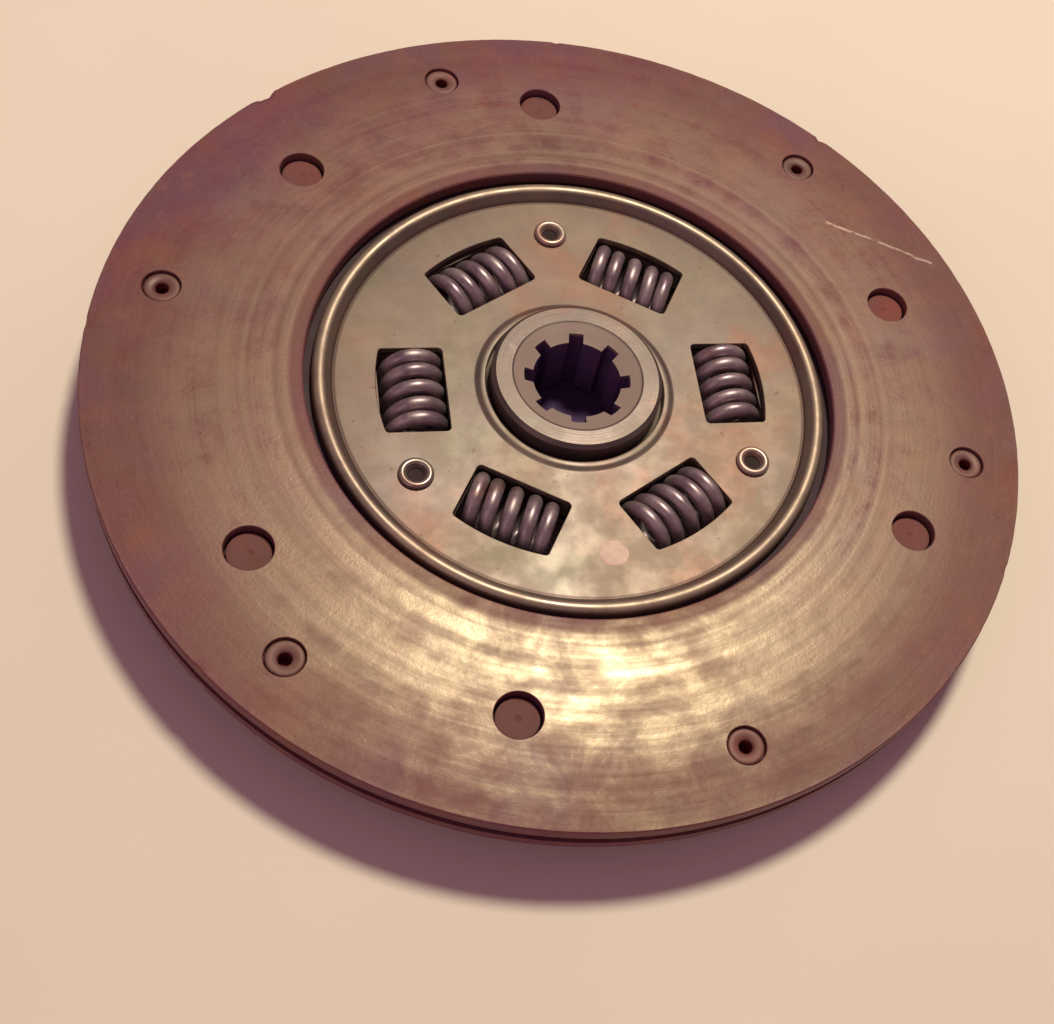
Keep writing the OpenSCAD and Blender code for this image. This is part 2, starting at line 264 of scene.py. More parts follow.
def true_cones(obj, reach):
    """Gives faces that slope towards the Z axis, out to a radius, the normals of a true cone."""
    mesh = obj.data
    normals = [Vector(corner.vector) for corner in mesh.corner_normals]
    for face in mesh.polygons:
        up = face.normal.z
        out = Vector((face.center.x, face.center.y, 0))
        if out.length > reach or not 0.2 < abs(up) < 0.98:
            continue
        side = face.normal.dot(out.normalized())
        flat = math.sqrt(1 - up * up)
        if abs(side) < 0.9 * flat:
            continue
        for corner in face.loop_indices:
            at = mesh.vertices[mesh.loops[corner].vertex_index].co
            outward = Vector((at.x, at.y, 0)).normalized()
            normals[corner] = outward * math.copysign(flat, side) + Vector((0, 0, up))
    mesh.normals_split_custom_set(normals)
    return obj


def place(obj, body, nodes, material):
    obj.data.materials.clear()
    obj.data.materials.append(material)
    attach(obj, body)
    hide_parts(*nodes)
    return obj


# ---- Material helpers ----

class Nodes:
    """Short calls for building one material's node tree."""

    def __init__(self, name):
        self.material = bpy.data.materials.new(name)
        self.material.use_nodes = True
        self.tree = self.material.node_tree
        self.shader = self.tree.nodes["Principled BSDF"]
        self.place = self.add("ShaderNodeTexCoord").outputs["Object"]

    def add(self, kind, **settings):
        node = self.tree.nodes.new(kind)
        for key, value in settings.items():
            setattr(node, key, value)
        return node

    def link(self, source, target):
        self.tree.links.new(source, target)

    def put(self, value, socket):
        if isinstance(value, (int, float, tuple)):
            socket.default_value = value
        else:
            self.link(value, socket)

    def math(self, operation, a, b=0.0, clamp=False):
        node = self.add("ShaderNodeMath", operation=operation, use_clamp=clamp)
        self.put(a, node.inputs[0])
        self.put(b, node.inputs[1])
        return node.outputs[0]

    def radius(self):
        return self.flat_length(self.place)

    def flat_length(self, vector):
        flat = self.add("ShaderNodeVectorMath", operation="MULTIPLY")
        self.link(vector, flat.inputs[0])
        flat.inputs[1].default_value = (1, 1, 0)
        length = self.add("ShaderNodeVectorMath", operation="LENGTH")
        self.link(flat.outputs[0], length.inputs[0])
        return length.outputs["Value"]

    def angle(self):
        parts = self.add("ShaderNodeSeparateXYZ")
        self.link(self.place, parts.inputs[0])
        return self.math("ARCTAN2", parts.outputs["Y"], parts.outputs["X"])

    def noise(self, scale, detail=3.0, rough=0.55, vector=None, warp=0.0):
        node = self.add("ShaderNodeTexNoise")
        self.link(vector or self.place, node.inputs["Vector"])
        node.inputs["Scale"].default_value = scale
        node.inputs["Detail"].default_value = detail
        node.inputs["Roughness"].default_value = rough
        node.inputs["Distortion"].default_value = warp
        return node.outputs["Fac"]

    def rings(self, radial_scale, angular_scale, detail=3.0):
        """Noise that runs in arcs round Z: fine across the radius, long along the turn."""
        a = self.angle()
        spot = self.add("ShaderNodeCombineXYZ")
        self.link(self.math("MULTIPLY", self.radius(), radial_scale), spot.inputs[0])
        self.link(self.math("MULTIPLY", self.math("COSINE", a), angular_scale), spot.inputs[1])
        self.link(self.math("MULTIPLY", self.math("SINE", a), angular_scale), spot.inputs[2])
        return self.noise(1.0, detail, 0.6, spot.outputs[0])

    def ramp(self, value, stops):
        node = self.add("ShaderNodeValToRGB")
        self.link(value, node.inputs[0])
        points = node.color_ramp.elements
        while len(points) < len(stops):
            points.new(0.5)
        for point, (at, colour) in zip(points, stops):
            point.position = at
            point.color = colour if isinstance(colour, tuple) else (colour, colour, colour, 1)
        return node.outputs["Color"]

    def step(self, value, low, high, to_low=0.0, to_high=1.0):
        node = self.add("ShaderNodeMapRange", interpolation_type="SMOOTHSTEP")
        self.put(value, node.inputs["Value"])
        node.inputs["From Min"].default_value = low
        node.inputs["From Max"].default_value = high
        node.inputs["To Min"].default_value = to_low
        node.inputs["To Max"].default_value = to_high
        return node.outputs["Result"]

    def mix(self, factor, a, b, blend="MIX"):
        node = self.add("ShaderNodeMix", data_type="RGBA", blend_type=blend)
        self.put(factor, node.inputs[0])
        self.put(a, node.inputs[6])
        self.put(b, node.inputs[7])
        return node.outputs[2]

    def near(self, point, radius, soft):
        """1 close to a point in the row frame, and 0 beyond radius + soft."""
        node = self.add("ShaderNodeVectorMath", operation="DISTANCE")
        self.link(self.place, node.inputs[0])
        node.inputs[1].default_value = point
        return self.step(node.outputs["Value"], radius, radius + soft, 1.0, 0.0)

    def beside(self, point, radius, soft):
        """1 close to the vertical line through a point, and 0 beyond radius + soft."""
        from_line = self.add("ShaderNodeVectorMath", operation="SUBTRACT")
        self.link(self.place, from_line.inputs[0])
        from_line.inputs[1].default_value = point
        return self.step(self.flat_length(from_line.outputs[0]), radius, radius + soft, 1.0, 0.0)

    def line(self, start, end, half_width):
        """1 along a ragged line between two points in the row frame, and 0 beside it."""
        start, end = Vector(start), Vector(end)
        along = end - start
        sway = 1.3 * MM
        shake = self.add("ShaderNodeTexNoise")
        self.link(self.place, shake.inputs["Vector"])
        shake.inputs["Scale"].default_value = 160
        shaken = self.add("ShaderNodeVectorMath", operation="MULTIPLY_ADD")
        self.link(shake.outputs["Color"], shaken.inputs[0])
        shaken.inputs[1].default_value = (2 * sway, 2 * sway, 0)
        self.link(self.place, shaken.inputs[2])
        from_start = self.add("ShaderNodeVectorMath", operation="SUBTRACT")
        self.link(shaken.outputs[0], from_start.inputs[0])
        from_start.inputs[1].default_value = start + Vector((sway, sway, 0))
        share = self.add("ShaderNodeVectorMath", operation="DOT_PRODUCT")
        self.link(from_start.outputs[0], share.inputs[0])
        share.inputs[1].default_value = along / along.length_squared
        share = self.math("MULTIPLY", share.outputs["Value"], 1.0, clamp=True)
        nearest = self.add("ShaderNodeVectorMath", operation="SCALE")
        nearest.inputs[0].default_value = along
        self.link(share, nearest.inputs["Scale"])
        away = self.add("ShaderNodeVectorMath", operation="DISTANCE")
        self.link(from_start.outputs[0], away.inputs[0])
        self.link(nearest.outputs[0], away.inputs[1])
        return self.step(away.outputs["Value"], half_width, half_width + 0.25 * MM, 1.0, 0.0)

    def bump(self, height, distance, strength=1.0, after=None):
        node = self.add("ShaderNodeBump")
        self.link(height, node.inputs["Height"])
        node.inputs["Distance"].default_value = distance
        node.inputs["Strength"].default_value = strength
        if after:
            self.link(after, node.inputs["Normal"])
        return node.outputs["Normal"]

    def finish(self, colour, roughness, normal=None, metallic=0.0):
        self.put(colour, self.shader.inputs["Base Color"])
        self.put(roughness, self.shader.inputs["Roughness"])
        self.put(metallic, self.shader.inputs["Metallic"])
        if normal:
            self.link(normal, self.shader.inputs["Normal"])
        return self.material


def rgb(r, g, b):
    return (r, g, b, 1.0)


# ---- Materials ----

# A long pale scratch across the front lining: radius in mm and angle in degrees of its bends
SCRATCH = [
    (r * MM * math.cos(math.radians(a)), r * MM * math.sin(math.radians(a)), FRONT_TOP_Z)
    for r, a in ((90.8, 32.8), (98.8, 25.6), (109.4, 18.5))
]


def lining_material(name, marks=False):
    """Worn friction lining: mauve-brown, blotched, with fine rings from slipping on the flywheel
    and a polished band near the bore."""
    n = Nodes(name)
    radius = n.radius()
    cloud = n.noise(24, 4, 0.55, warp=0.5)
    tint = n.noise(46, 4, 0.6)
    patch = n.noise(110, 4, 0.65)
    grain = n.noise(1000, 2, 0.7)
    mottle = n.noise(75, 6, 0.72, warp=1.2)
    speck = n.noise(330, 3, 0.75)
    ring = n.rings(1100, 1.2)
    broad_ring = n.rings(260, 0.8, 4)
    colour = n.ramp(cloud, [
        (0.30, rgb(0.135, 0.045, 0.088)), (0.45, rgb(0.165, 0.050, 0.068)),
        (0.58, rgb(0.160, 0.060, 0.059)), (0.72, rgb(0.145, 0.055, 0.086)),
    ])
    colour = n.mix(n.step(tint, 0.52, 0.68, 0.0, 0.55), colour, rgb(0.202, 0.066, 0.050))
    colour = n.mix(n.step(tint, 0.47, 0.32, 0.0, 0.55), colour, rgb(0.129, 0.061, 0.066))
    colour = n.mix(n.step(patch, 0.55, 0.75, 0.0, 0.35), colour, rgb(0.241, 0.092, 0.076))
    colour = n.mix(n.step(mottle, 0.54, 0.70, 0.0, 0.28), colour, rgb(0.100, 0.036, 0.052))
    colour = n.mix(n.step(mottle, 0.46, 0.30, 0.0, 0.30), colour, rgb(0.235, 0.095, 0.085))
    colour = n.mix(n.step(broad_ring, 0.52, 0.72, 0.0, 0.14), colour, rgb(0.095, 0.034, 0.043))
    colour = n.mix(n.step(ring, 0.58, 0.76, 0.0, 0.10), colour, rgb(0.258, 0.112, 0.101))
    colour = n.mix(n.step(ring, 0.42, 0.24, 0.0, 0.16), colour, rgb(0.077, 0.026, 0.035))
    colour = n.mix(n.step(grain, 0.56, 0.76, 0.0, 0.30), colour, rgb(0.292, 0.135, 0.138))
    colour = n.mix(n.step(grain, 0.44, 0.24, 0.0, 0.35), colour, rgb(0.073, 0.024, 0.035))
    colour = n.mix(n.step(speck, 0.66, 0.74, 0.0, 0.55), colour, rgb(0.073, 0.026, 0.027))
    # The band that slipped most is polished: between two radii, fading towards the rim
    polished = n.math(
        "MULTIPLY", n.step(radius, POLISH_START_R, POLISH_START_R + 3 * MM),
        n.step(radius, POLISH_END_R, POLISH_END_R + 26 * MM, 1.0, 0.0))
    lines = n.math("MULTIPLY", polished, n.step(broad_ring, 0.50, 0.60))
    colour = n.mix(n.math("MULTIPLY", lines, 0.30), colour, rgb(0.086, 0.036, 0.034))
    colour = n.mix(n.math("MULTIPLY", polished, 0.12), colour, rgb(0.224, 0.099, 0.092))
    scratch = None
    if marks:
        stain = n.near((4 * MM, 74 * MM, FRONT_TOP_Z), 4 * MM, 12 * MM)
        colour = n.mix(n.math("MULTIPLY", stain, 0.35), colour, rgb(0.086, 0.036, 0.046))
        scratch = n.math("MAXIMUM", *[n.line(a, b, 0.28 * MM) for a, b in zip(SCRATCH, SCRATCH[1:])])
        scratch = n.math("MULTIPLY", scratch, n.step(n.noise(330, 3, 0.7), 0.36, 0.54))
        colour = n.mix(n.math("MULTIPLY", scratch, 0.8), colour, rgb(0.520, 0.370, 0.328))
    roughness = n.math("ADD", n.step(broad_ring, 0.3, 0.7, 0.36, 0.48),
                       n.step(patch, 0.3, 0.7, -0.04, 0.08))
    roughness = n.math("SUBTRACT", roughness, n.math("MULTIPLY", polished, 0.07))
    roughness = n.math("ADD", roughness, n.step(mottle, 0.35, 0.65, -0.03, 0.05))
    coarse = n.bump(broad_ring, 0.07 * MM, 0.35)
    fine = n.bump(ring, 0.03 * MM, 0.5, coarse)
    fine = n.bump(mottle, 0.15 * MM, 0.25, fine)
    normal = n.bump(grain, 0.04 * MM, 0.5, fine)
    if scratch:
        normal = n.bump(n.math("MULTIPLY", scratch, -1.0), 0.1 * MM, 0.8, normal)
    n.link(n.step(polished, 0.0, 1.0, 0.45, 1.0), n.shader.inputs["Specular IOR Level"])
    n.shader.inputs["Specular Tint"].default_value = rgb(1.0, 0.82, 0.58)
    return n.finish(colour, roughness, normal)


def steel_material(name, dark, mid, light, roughness=(0.34, 0.5), metallic=0.75):
    """Bare steel that has tarnished: soft clouds of colour, faint rub marks, a few small pits."""
    n = Nodes(name)
    colour, rough, normal = tarnish(n, (dark, mid, light), roughness)
    return n.finish(colour, rough, normal, metallic)


def tarnish(n, colours, roughness):
    """Colour, roughness and normal of tarnished sheet, in three main tones."""
    dark, mid, light = colours
    cloud = n.noise(26, 4, 0.6, warp=0.8)
    tint = n.noise(38, 4, 0.6, warp=0.4)
    patch = n.noise(120, 3, 0.6)
    grain = n.noise(1300, 2, 0.7)
    pits = n.noise(420, 2, 0.8)
    colour = n.ramp(cloud, [(0.30, dark), (0.50, mid), (0.70, light)])
    colour = n.mix(n.step(tint, 0.52, 0.70, 0.0, 0.8), colour, rgb(1.22, 0.86, 0.80), "MULTIPLY")
    colour = n.mix(n.step(tint, 0.47, 0.30, 0.0, 0.8), colour, rgb(0.82, 0.97, 0.86), "MULTIPLY")
    colour = n.mix(n.step(patch, 0.55, 0.75, 0.0, 0.7), colour, rgb(1.25, 1.20, 1.10), "MULTIPLY")
    colour = n.mix(n.step(grain, 0.42, 0.22, 0.0, 0.5), colour, rgb(0.55, 0.48, 0.46), "MULTIPLY")
    colour = n.mix(n.step(pits, 0.68, 0.76, 0.0, 0.7), colour, rgb(0.50, 0.38, 0.32), "MULTIPLY")
    rough = n.math("ADD", n.step(cloud, 0.3, 0.7, *roughness), n.step(patch, 0.3, 0.7, -0.04, 0.05))
    normal = n.bump(n.noise(60, 3, 0.5), 0.25 * MM, 0.3)
    return colour, rough, n.bump(grain, 0.02 * MM, 0.4, normal)


def plate_material():
    """Tarnished sheet; the bead crest is painted lighter, partly rubbed metal and partly a painted
    highlight, with a painted shade line at the foot of the bead and painted shade in the groove outside
    it.
    """
    n = Nodes("plate_steel")
    radius = n.radius()
    colour, rough, normal = tarnish(
        n, (rgb(0.125, 0.092, 0.086), rgb(0.160, 0.117, 0.095), rgb(0.205, 0.152, 0.114)), (0.40, 0.52))
    # Bead crest: rubbed metal and a painted highlight, a lighter band all round.
    crest_wear_and_highlight = n.math(
        "MULTIPLY", n.step(radius, BEAD_R - 1.6 * MM, BEAD_R - 0.5 * MM),
        n.step(radius, BEAD_R + 1.0 * MM, BEAD_R + 1.7 * MM, 1.0, 0.0))
    crest_wear_and_highlight = n.math("MULTIPLY", crest_wear_and_highlight, n.step(n.noise(170, 3, 0.6), 0.30, 0.55, 0.5, 1.0))
    colour = n.mix(n.math("MULTIPLY", crest_wear_and_highlight, 0.8), colour, rgb(0.40, 0.30, 0.23))
    # Painted shade: a dark line painted along the crease at the foot of the bead.
    crease = n.math(
        "MULTIPLY", n.step(radius, BEAD_START_R - 0.8 * MM, BEAD_START_R - 0.2 * MM),
        n.step(radius, BEAD_START_R + 0.3 * MM, BEAD_START_R + 0.9 * MM, 1.0, 0.0))
    colour = n.mix(n.math("MULTIPLY", crease, 0.65), colour, rgb(0.10, 0.055, 0.045))
    # Painted shade: the groove between the bead and the lining is painted near black, rougher and less
    # metallic.
    groove_shade = n.step(radius, BEAD_R + BEAD_CREST_R - 0.15 * MM, BEAD_R + BEAD_CREST_R + 0.1 * MM)
    colour = n.mix(groove_shade, colour, rgb(0.060, 0.032, 0.040))
    rough = n.math("SUBTRACT", rough, n.math("MULTIPLY", crest_wear_and_highlight, 0.05))
    rough = n.math("ADD", rough, n.math("MULTIPLY", groove_shade, 0.3))
    metallic = n.math("SUBTRACT", 0.6, n.math("MULTIPLY", groove_shade, 0.5))
    return n.finish(colour, rough, normal, metallic)


def hub_material():
    """The same steel, turned on its end faces, with painted shade that makes the bore dark purple below
    the lead-in, and a painted highlight that lightens the lead-in cone."""
    n = Nodes("hub_steel")
    colour, rough, normal = tarnish(
        n, (rgb(0.110, 0.080, 0.078), rgb(0.140, 0.104, 0.092), rgb(0.180, 0.138, 0.116)), (0.36, 0.46))
    parts = n.add("ShaderNodeSeparateXYZ")
    n.link(n.place, parts.inputs[0])
    bore = n.step(n.radius(), BORE_R + 0.3 * MM, BORE_R + 1.2 * MM, 1.0, 0.0)
    cone_foot = HUB_TOP_Z - LEAD_IN_DEPTH
    below_cone = n.step(parts.outputs["Z"], cone_foot - 0.4 * MM, cone_foot + 0.3 * MM, 1.0, 0.0)
    # Painted shade: the bore below the lead-in is painted near-black purple, as if in shade.
    bore_shade_colour = n.ramp(n.noise(300, 3, 0.6), [
        (0.35, rgb(0.09, 0.055, 0.150)), (0.65, rgb(0.14, 0.065, 0.150)),
    ])
    bore_shade = n.math("MULTIPLY", bore, below_cone)
    # Painted highlight: the lead-in cone is painted lighter and less metallic, all the way round.
    cone = n.math(
        "MULTIPLY", n.step(n.radius(), LEAD_IN_R - 0.5 * MM, LEAD_IN_R - 0.1 * MM, 1.0, 0.0),
        n.step(parts.outputs["Z"], HUB_TOP_Z - 0.25 * MM, HUB_TOP_Z - 0.1 * MM, 1.0, 0.0))
    cone = n.math("SUBTRACT", cone, bore_shade, clamp=True)
    colour = n.mix(n.math("MULTIPLY", cone, 0.85), colour, rgb(0.33, 0.245, 0.205))
    colour = n.mix(bore_shade, colour, bore_shade_colour)
    rough = n.math("ADD", rough, n.math("MULTIPLY", bore_shade, 0.3))
    normal = n.bump(n.rings(1700, 0.5), 0.05 * MM, 0.45, normal)
    metallic = n.math("SUBTRACT", 0.6, n.math("MULTIPLY", n.math("MAXIMUM", bore_shade, cone), 0.5))
    return n.finish(colour, rough, normal, metallic)


def pin_material():
    """Worn pin ends with painted shade, near black, in the hollow of each."""
    n = Nodes("pin_steel")
    colour, rough, normal = tarnish(
        n, (rgb(0.26, 0.21, 0.18), rgb(0.34, 0.28, 0.24), rgb(0.44, 0.375, 0.32)), (0.28, 0.40))
    # Painted shade: the hollow in each pin end is painted near black.
    hollow = 0.0
    for pin in PINS:
        hollow = n.math("MAXIMUM", hollow, n.beside(centre(pin), 1.85 * MM, 0.4 * MM))
    colour = n.mix(hollow, colour, rgb(0.028, 0.012, 0.011))
    rough = n.math("ADD", rough, n.math("MULTIPLY", hollow, 0.5))
    metallic = n.math("SUBTRACT", 0.65, n.math("MULTIPLY", hollow, 0.6))
    return n.finish(colour, rough, normal, metallic)


def rivet_material():
    """Dull rivet metal the colour of the lining's dust, with painted shade, dark red, inside each hollow.
    """
    n = Nodes("rivet_metal")
    colour, rough, normal = tarnish(
        n, (rgb(0.125, 0.055, 0.052), rgb(0.160, 0.070, 0.060), rgb(0.200, 0.092, 0.075)), (0.46, 0.60))
    # Painted shade: the hollow of each front rivet is painted dark red.
    hollow = 0.0
    for rivet in FRONT_RIVETS:
        hollow = n.math("MAXIMUM", hollow, n.beside(centre(rivet), RIVET_HOLLOW_R - 0.05 * MM, 0.35 * MM))
    colour = n.mix(hollow, colour, rgb(0.13, 0.010, 0.012))
    rough = n.math("ADD", rough, n.math("MULTIPLY", hollow, 0.3))
    return n.finish(colour, rough, normal, 0.15)


def spring_material():
    """Oil-tempered wire, blue-grey, in soft clouds of tone, rusty in places."""
    n = Nodes("spring_wire")
    cloud = n.noise(160, 3, 0.6)
    rust = n.noise(60, 4, 0.65)
    grain = n.noise(1500, 2, 0.7)
    colour = n.ramp(cloud, [
        (0.32, rgb(0.24, 0.17, 0.20)), (0.52, rgb(0.34, 0.26, 0.28)),
        (0.72, rgb(0.45, 0.36, 0.36)),
    ])
    colour = n.mix(n.step(rust, 0.58, 0.72, 0.0, 0.6), colour, rgb(0.25, 0.13, 0.10))
    rough = n.step(cloud, 0.3, 0.7, 0.33, 0.48)
    return n.finish(colour, rough, n.bump(grain, 0.03 * MM, 0.6), 0.7)


def fibre_material():
    """Matt pressed fibre of the friction washers."""
    n = Nodes("pressed_fibre")
    mat = n.noise(260, 4, 0.7)
    colour = n.ramp(mat, [(0.35, rgb(0.10, 0.075, 0.055)), (0.65, rgb(0.21, 0.16, 0.12))])
    return n.finish(colour, n.step(mat, 0.3, 0.7, 0.65, 0.85), n.bump(mat, 0.1 * MM, 0.6))


def paint_material():
    """Old marking paint, chalky, thin at its edge."""
    n = Nodes("paint_dab")
    cloud = n.noise(300, 4, 0.65)
    colour = n.ramp(cloud, [(0.35, rgb(0.62, 0.40, 0.32)), (0.60, rgb(0.80, 0.60, 0.48))])
    return n.finish(colour, n.step(cloud, 0.3, 0.7, 0.55, 0.75), n.bump(cloud, 0.08 * MM, 0.6))


# ---- Pieces ----

def facing_profile(bottom, top, face_up):
    """Outline of a facing, with worn edges and shallow wear rings on its friction face."""
    step = 0.7 * MM
    edge = 0.35 * MM
    grooved_width = 22 * MM
    span = FACING_R - FACING_BORE_R - 2 * edge
    stations = int(span / step)
    face = []
    for i in range(stations + 1):
        r = FACING_BORE_R + edge + span * i / stations
        inner = max(0.0, 1 - (r - FACING_BORE_R) / grooved_width)
        groove = noise.noise(Vector((r / MM * 0.8, 3.1, 0)))
        groove += noise.noise(Vector((r / MM * 0.27, 7.7, 0)))
        depth = (0.02 + 0.07 * inner) * MM * max(0.0, groove)
        depth = depth if 0 < i < stations else 0.0
        face.append((r, top - depth if face_up else bottom + depth))
    back_z = bottom if face_up else top
    side_z = top - edge if face_up else bottom + edge
    return [
        (FACING_BORE_R, back_z), (FACING_BORE_R, side_z), *face, (FACING_R, side_z), (FACING_R, back_z),
    ]


# Places on the rim where a little lining has broken away: angle in degrees, half width and depth in mm
RIM_CHIPS = [
    (128.0, 3.2, 1.3), (44.2, 1.4, 0.8), (-31.0, 1.0, 0.4),
    (-142.0, 1.6, 0.5), (171.0, 1.1, 0.4), (85.0, 0.9, 0.4),
]
WORN_REACH = 1.6 * MM


def rim_wear(face_z):
    """Small unevenness at the rim, and the chips; only the edge next to the friction face moves."""
    def wobble(r, z, a):
        near_face = max(0.0, 1 - abs(z - face_z) / WORN_REACH)
        near_rim = max(0.0, 1 - (FACING_R - r) / WORN_REACH)
        if near_rim * near_face == 0:
            return 0.0, 0.0
        rough = noise.noise(Vector((math.cos(a) * 40, math.sin(a) * 40, 2.0)))
        drop = 0.10 * MM * max(0.0, rough + 0.15)
        for angle, width, depth in RIM_CHIPS:
            turn = (math.degrees(a) - angle + 180) % 360 - 180
            along = abs(math.radians(turn)) * FACING_R / (width * MM)
            if along < 1:
                ragged = 0.75 + 0.5 * noise.noise(Vector((along * 5, angle, 1.0)))
                drop = max(drop, depth * MM * (1 - along * along) * ragged)
        drop *= near_face * near_rim
        return -drop, -drop * 0.6 if face_z > RIM_Z else drop * 0.6
    return wobble


def hole_levels(start, end, radius, chamfer=0.15 * MM):
    """Levels of a straight hole's cutter from below start to above end, with broken edges."""
    over = 1 * MM
    return [
        (start - over, radius + chamfer + over), (start, radius + chamfer), (start + chamfer, radius),
        (end - chamfer, radius), (end, radius + chamfer), (end + over, radius + chamfer + over),
    ]


def counterbore_levels(bottom, top, face_up):
    soft = 0.15 * MM
    over = 1 * MM
    if face_up:
        floor = top - COUNTERBORE_DEPTH
        return [
            (bottom - over, SHANK_HOLE_R), (floor, SHANK_HOLE_R), (floor, COUNTERBORE_R - soft),
            (floor + soft, COUNTERBORE_R), (top - soft, COUNTERBORE_R), (top, COUNTERBORE_R + soft),
            (top + over, COUNTERBORE_R + soft + over),
        ]
    floor = bottom + COUNTERBORE_DEPTH
    return [
        (bottom - over, COUNTERBORE_R + soft + over), (bottom, COUNTERBORE_R + soft),
        (bottom + soft, COUNTERBORE_R), (floor - soft, COUNTERBORE_R), (floor, COUNTERBORE_R - soft),
        (floor, SHANK_HOLE_R), (top + over, SHANK_HOLE_R),
    ]


def make_facing(name, node, body, own_rivets, other_rivets, face_up, material):
    lo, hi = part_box(node)
    face_z = hi.z if face_up else lo.z
    obj = lathe(name, facing_profile(lo.z, hi.z, face_up), 576, rim_wear(face_z))
    cutters = [round_cutter(centre(n), counterbore_levels(lo.z, hi.z, face_up)) for n in own_rivets]
    cutters += [round_cutter(centre(n), hole_levels(lo.z, hi.z, TOOL_HOLE_R)) for n in other_rivets]
    cut(obj, cutters)
    smooth(obj, 30)
    return place(obj, body, [node], material)


def arc(x, z, r, start, end, count):
    angles = [math.radians(start + (end - start) * i / count) for i in range(count + 1)]
    return [(x + r * math.cos(a), z + r * math.sin(a)) for a in angles]


def disc_plate_profile():
    """Half section of the disc plate: rolled lip at the hub, flat web, hollow bead and flat rim."""
    crest_z = BEAD_TOP_Z - BEAD_CREST_R
    wall_r = BEAD_R + BEAD_CREST_R
    lip_top = WEB_TOP_Z + 0.6 * MM
    inside_z = crest_z + 0.2 * MM
    crease = 0.12 * MM
    return [
        (PLATE_HOLE_R, WEB_Z), (PLATE_HOLE_R, lip_top - 0.35 * MM),
        *arc(PLATE_HOLE_R + 0.35 * MM, lip_top - 0.35 * MM, 0.35 * MM, 180, 90, 4)[1:],
        (PLATE_HOLE_R + 1.2 * MM, lip_top), (PLATE_HOLE_R + 1.8 * MM, lip_top - 0.15 * MM),
        (PLATE_HOLE_R + 2.4 * MM, WEB_TOP_Z + 0.08 * MM), (PLATE_HOLE_R + 2.9 * MM, WEB_TOP_Z),
        *[(PLATE_HOLE_R + (6 + 6 * i) * MM, WEB_TOP_Z) for i in range(5)],
        (BEAD_START_R - 0.7 * MM, WEB_TOP_Z), (BEAD_START_R - 0.2 * MM, WEB_TOP_Z - crease),
        (BEAD_START_R + 0.1 * MM, WEB_TOP_Z - crease), (BEAD_START_R + 0.4 * MM, WEB_TOP_Z + 0.3 * MM),
        *arc(BEAD_R, crest_z, BEAD_CREST_R, 135, 0, 16),
        (wall_r, RIM_TOP_Z + 0.2 * MM), (wall_r + 0.2 * MM, RIM_TOP_Z),
        (80 * MM, RIM_TOP_Z), (95 * MM, RIM_TOP_Z), (PLATE_R, RIM_TOP_Z), (PLATE_R, RIM_Z),
        (95 * MM, RIM_Z), (80 * MM, RIM_Z), (wall_r - 1.4 * MM, RIM_Z),
        (wall_r - 1.4 * MM, inside_z), (BEAD_R - 0.5 * MM, inside_z), (BEAD_START_R + 0.4 * MM, WEB_Z),
        *[(PLATE_HOLE_R + (30 - 6 * i) * MM, WEB_Z) for i in range(5)],
    ]


def window_points(angle, z, grow):
    """Outline of a spring window: straight inside and end edges, curved outside edge, soft corners."""
    half = WINDOW_LENGTH / 2 + grow
    inner = WINDOW_INNER_R - grow
    outer = WINDOW_OUTER_R + grow
    corner = 1.1 * MM + grow
    steps = 6
    flat = []
    for sign, start, end in ((-1, 270, 180), (1, 180, 90)):
        y = sign * (half - corner)
        for i in range(steps + 1):
            a = math.radians(start + (end - start) * i / steps)
            flat.append((inner + corner + corner * math.cos(a), y + corner * math.sin(a)))
    reach = math.asin((half - 0.5 * MM) / outer)
    shoulder = outer * math.cos(reach) - 0.6 * MM
    flat.append((shoulder, half))
    flat += [
        (outer * math.cos(t), outer * math.sin(t))
        for t in [reach * (1 - i / 12) for i in range(25)]
    ]
    flat.append((shoulder, -half))
    turn = Matrix.Rotation(math.radians(angle), 3, "Z")
    return [turn @ Vector((x, y, z)) for x, y in flat]


def window_cutter(angle, bottom, top):
    soft = 0.2 * MM
    over = 1 * MM
    levels = [
        (bottom - over, 0), (top - 2 * soft, 0), (top - 0.6 * soft, 0.3 * soft), (top, soft),
        (top + over, soft + over),
    ]
    return loft("cutter", [window_points(angle, z, grow) for z, grow in levels])


def slot_cutter(angle):
    """Radial slot in the rim with a round inner end."""
    r = RIM_SLOT_W / 2
    points = []
    for i in range(13):
        a = math.radians(90 + 180 * i / 12)
        points.append((RIM_SLOT_START_R + r * math.cos(a), r * math.sin(a)))
    points += [(PLATE_R + 2 * MM, -r), (PLATE_R + 2 * MM, r)]
    turn = Matrix.Rotation(math.radians(angle), 3, "Z")
    heights = (RIM_Z - 1 * MM, RIM_TOP_Z + 1 * MM)
    return loft("cutter", [[turn @ Vector((x, y, z)) for x, y in points] for z in heights])


